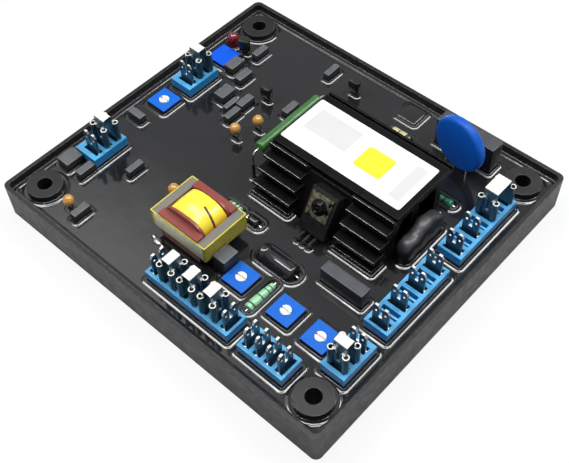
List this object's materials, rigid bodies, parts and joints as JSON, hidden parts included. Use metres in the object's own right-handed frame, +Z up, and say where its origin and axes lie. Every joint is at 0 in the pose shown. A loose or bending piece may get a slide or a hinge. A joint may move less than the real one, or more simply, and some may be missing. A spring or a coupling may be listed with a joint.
{
  "type": "automatic voltage regulator",
  "caption": "Potted voltage regulator in a shallow tray with a finned heatsink, small transformer, slotted trimmers and rows of blue push-on terminals",
  "frame": {"origin": "middle of the tray's flat underside", "axes": "+X along the tray's long side, +Y along its short side, +Z up out of the tray; right-handed"},
  "size_m": [0.15, 0.135, 0.0358],
  "materials": {
    "tray_plastic": "moulded dark grey, slightly worn",
    "board_laminate": "laminate under the resin",
    "resin": "cast, glossy, gently rippled",
    "heatsink_black": "black anodised extrusion",
    "label_film": "plain white film",
    "black_epoxy": "moulded black",
    "spring_steel": "bright pressed plate",
    "screw_steel": "plated",
    "laminations": "stacked sheets, lightly varnished",
    "bobbin_plastic": "moulded red-brown",
    "winding_tape": "yellow film tape",
    "core_tape": "olive yellow film tape",
    "block_plastic": "moulded light blue",
    "tab_metal": "tinned brass",
    "link_metal": "bright tinned strip",
    "trimmer_plastic": "moulded bright blue",
    "rotor_plastic": "moulded white",
    "blue_case": "moulded blue",
    "capacitor_case": "moulded grey",
    "lamp_lens": "clear red",
    "varistor_coat": "dipped blue coating",
    "resistor_green": "green cement coating",
    "resistor_pale": "pale green coating with bands",
    "resistor_dark": "dark green coating with bands",
    "dipped_coat": "dipped black coating",
    "tantalum_coat": "dipped orange coating"
  },
  "bodies": {
    "regulator": {"tray": "tray_plastic", "circuit_board": "board_laminate", "casting_resin": "resin", "heatsink": "heatsink_black", "heatsink_label": "label_film", "power_transistor": "black_epoxy", "spring_clamp": "spring_steel", "clamp_screw": "screw_steel", "transformer_core": "laminations", "transformer_bobbin": "bobbin_plastic", "transformer_winding": "winding_tape", "transformer_tape": "core_tape", "front_block": "block_plastic", "front_block_tabs": "tab_metal", "front_block_links": "link_metal", "small_block": "block_plastic", "small_block_tabs": "tab_metal", "right_lower_block": "block_plastic", "right_lower_tabs": "tab_metal", "right_lower_link": "link_metal", "right_middle_block": "block_plastic", "right_middle_tabs": "tab_metal", "right_upper_block": "block_plastic", "right_upper_tabs": "tab_metal", "right_upper_link": "link_metal", "left_lower_block": "block_plastic", "left_lower_tabs": "tab_metal", "left_lower_link": "link_metal", "left_upper_block": "block_plastic", "left_upper_tabs": "tab_metal", "left_upper_link": "link_metal", "trimmer_left": "trimmer_plastic", "trimmer_one": "trimmer_plastic", "trimmer_two": "trimmer_plastic", "trimmer_three": "trimmer_plastic", "blue_film_capacitor": "blue_case", "indicator_lamp": "lamp_lens", "varistor": "varistor_coat", "wirewound_resistor": "resistor_green", "front_banded_resistor": "resistor_pale", "middle_banded_resistor": "resistor_pale", "front_diode": "black_epoxy", "rear_banded_resistor": "resistor_pale", "right_banded_resistor": "resistor_dark", "axial_capacitor": "black_epoxy", "dipped_capacitor": "dipped_coat", "rim_capacitor": "capacitor_case", "large_film_capacitor": "capacitor_case", "square_film_capacitor": "capacitor_case", "slim_film_capacitors": "capacitor_case", "wide_film_capacitors": "capacitor_case", "tantalum_beads": "tantalum_coat", "small_transistors": "black_epoxy", "bridge_rectifier": "black_epoxy"},
    "trimmer_left_rotor_body": {"trimmer_left_rotor": "rotor_plastic"},
    "trimmer_one_rotor_body": {"trimmer_one_rotor": "rotor_plastic"},
    "trimmer_two_rotor_body": {"trimmer_two_rotor": "rotor_plastic"},
    "trimmer_three_rotor_body": {"trimmer_three_rotor": "rotor_plastic"}
  },
  "joints": [
    {"name": "trimmer_left_turn", "type": "hinge", "parent": "regulator", "child": "trimmer_left_rotor_body", "pos_m": [-0.0635, 0.0018, 0.0128], "axis": [0, 0, 1], "range_deg": [-130, 130]},
    {"name": "trimmer_one_turn", "type": "hinge", "parent": "regulator", "child": "trimmer_one_rotor_body", "pos_m": [0.0169, -0.0389, 0.0128], "axis": [0, 0, 1], "range_deg": [-130, 130]},
    {"name": "trimmer_two_turn", "type": "hinge", "parent": "regulator", "child": "trimmer_two_rotor_body", "pos_m": [0.0369, -0.0389, 0.0128], "axis": [0, 0, 1], "range_deg": [-130, 130]},
    {"name": "trimmer_three_turn", "type": "hinge", "parent": "regulator", "child": "trimmer_three_rotor_body", "pos_m": [0.0518, -0.039, 0.0128], "axis": [0, 0, 1], "range_deg": [-130, 130]}
  ]
}
